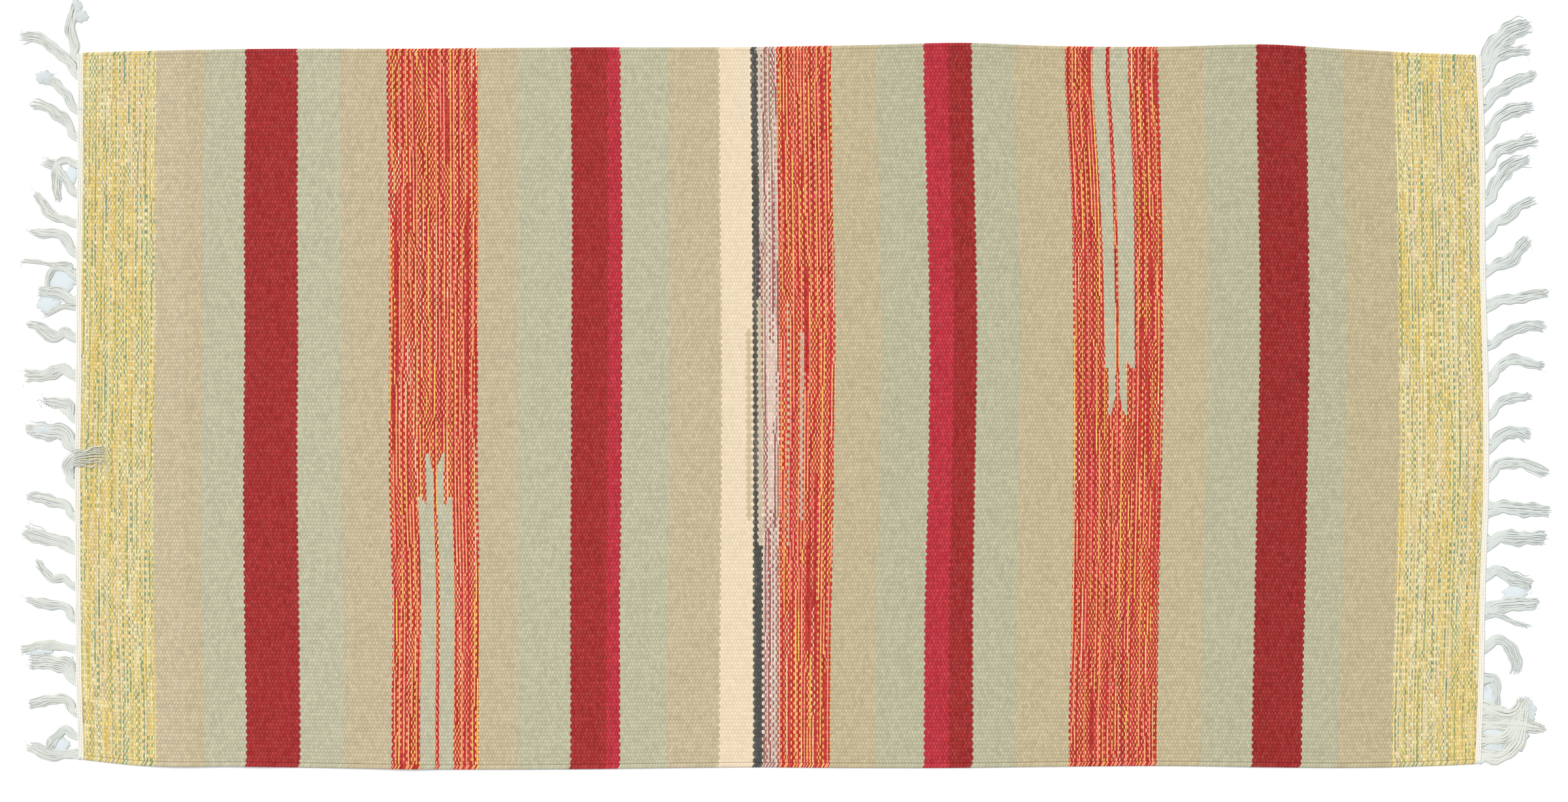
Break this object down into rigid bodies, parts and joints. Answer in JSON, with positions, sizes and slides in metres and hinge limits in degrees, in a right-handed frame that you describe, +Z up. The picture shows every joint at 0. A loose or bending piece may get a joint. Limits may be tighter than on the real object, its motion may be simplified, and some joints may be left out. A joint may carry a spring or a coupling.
{
  "type": "kilim rug",
  "caption": "Flat-woven cotton rug with cross stripes, mottled bands and forked tongues, white twined end cords and loose tasselled fringes at both ends.",
  "frame": {"origin": "middle of the rug's underside, on the surface it lies on", "axes": "+X along the rug's length, from the left fringe to the right one; +Y across it, towards the far selvedge; +Z up out of its face"},
  "size_m": [1.529, 0.7652, 0.0063],
  "materials": {
    "kilim_weave": "weft-faced cotton plain weave in cross stripes, matt",
    "heading_cotton": "twined undyed white cotton cord, matt",
    "fringe_cotton": "loose undyed cotton warp yarns, matt and slightly fuzzy"
  },
  "bodies": {
    "root": {"woven_field": "kilim_weave", "heading_left": "heading_cotton", "heading_right": "heading_cotton", "fringe_left": "fringe_cotton", "fringe_right": "fringe_cotton"}
  },
  "joints": []
}
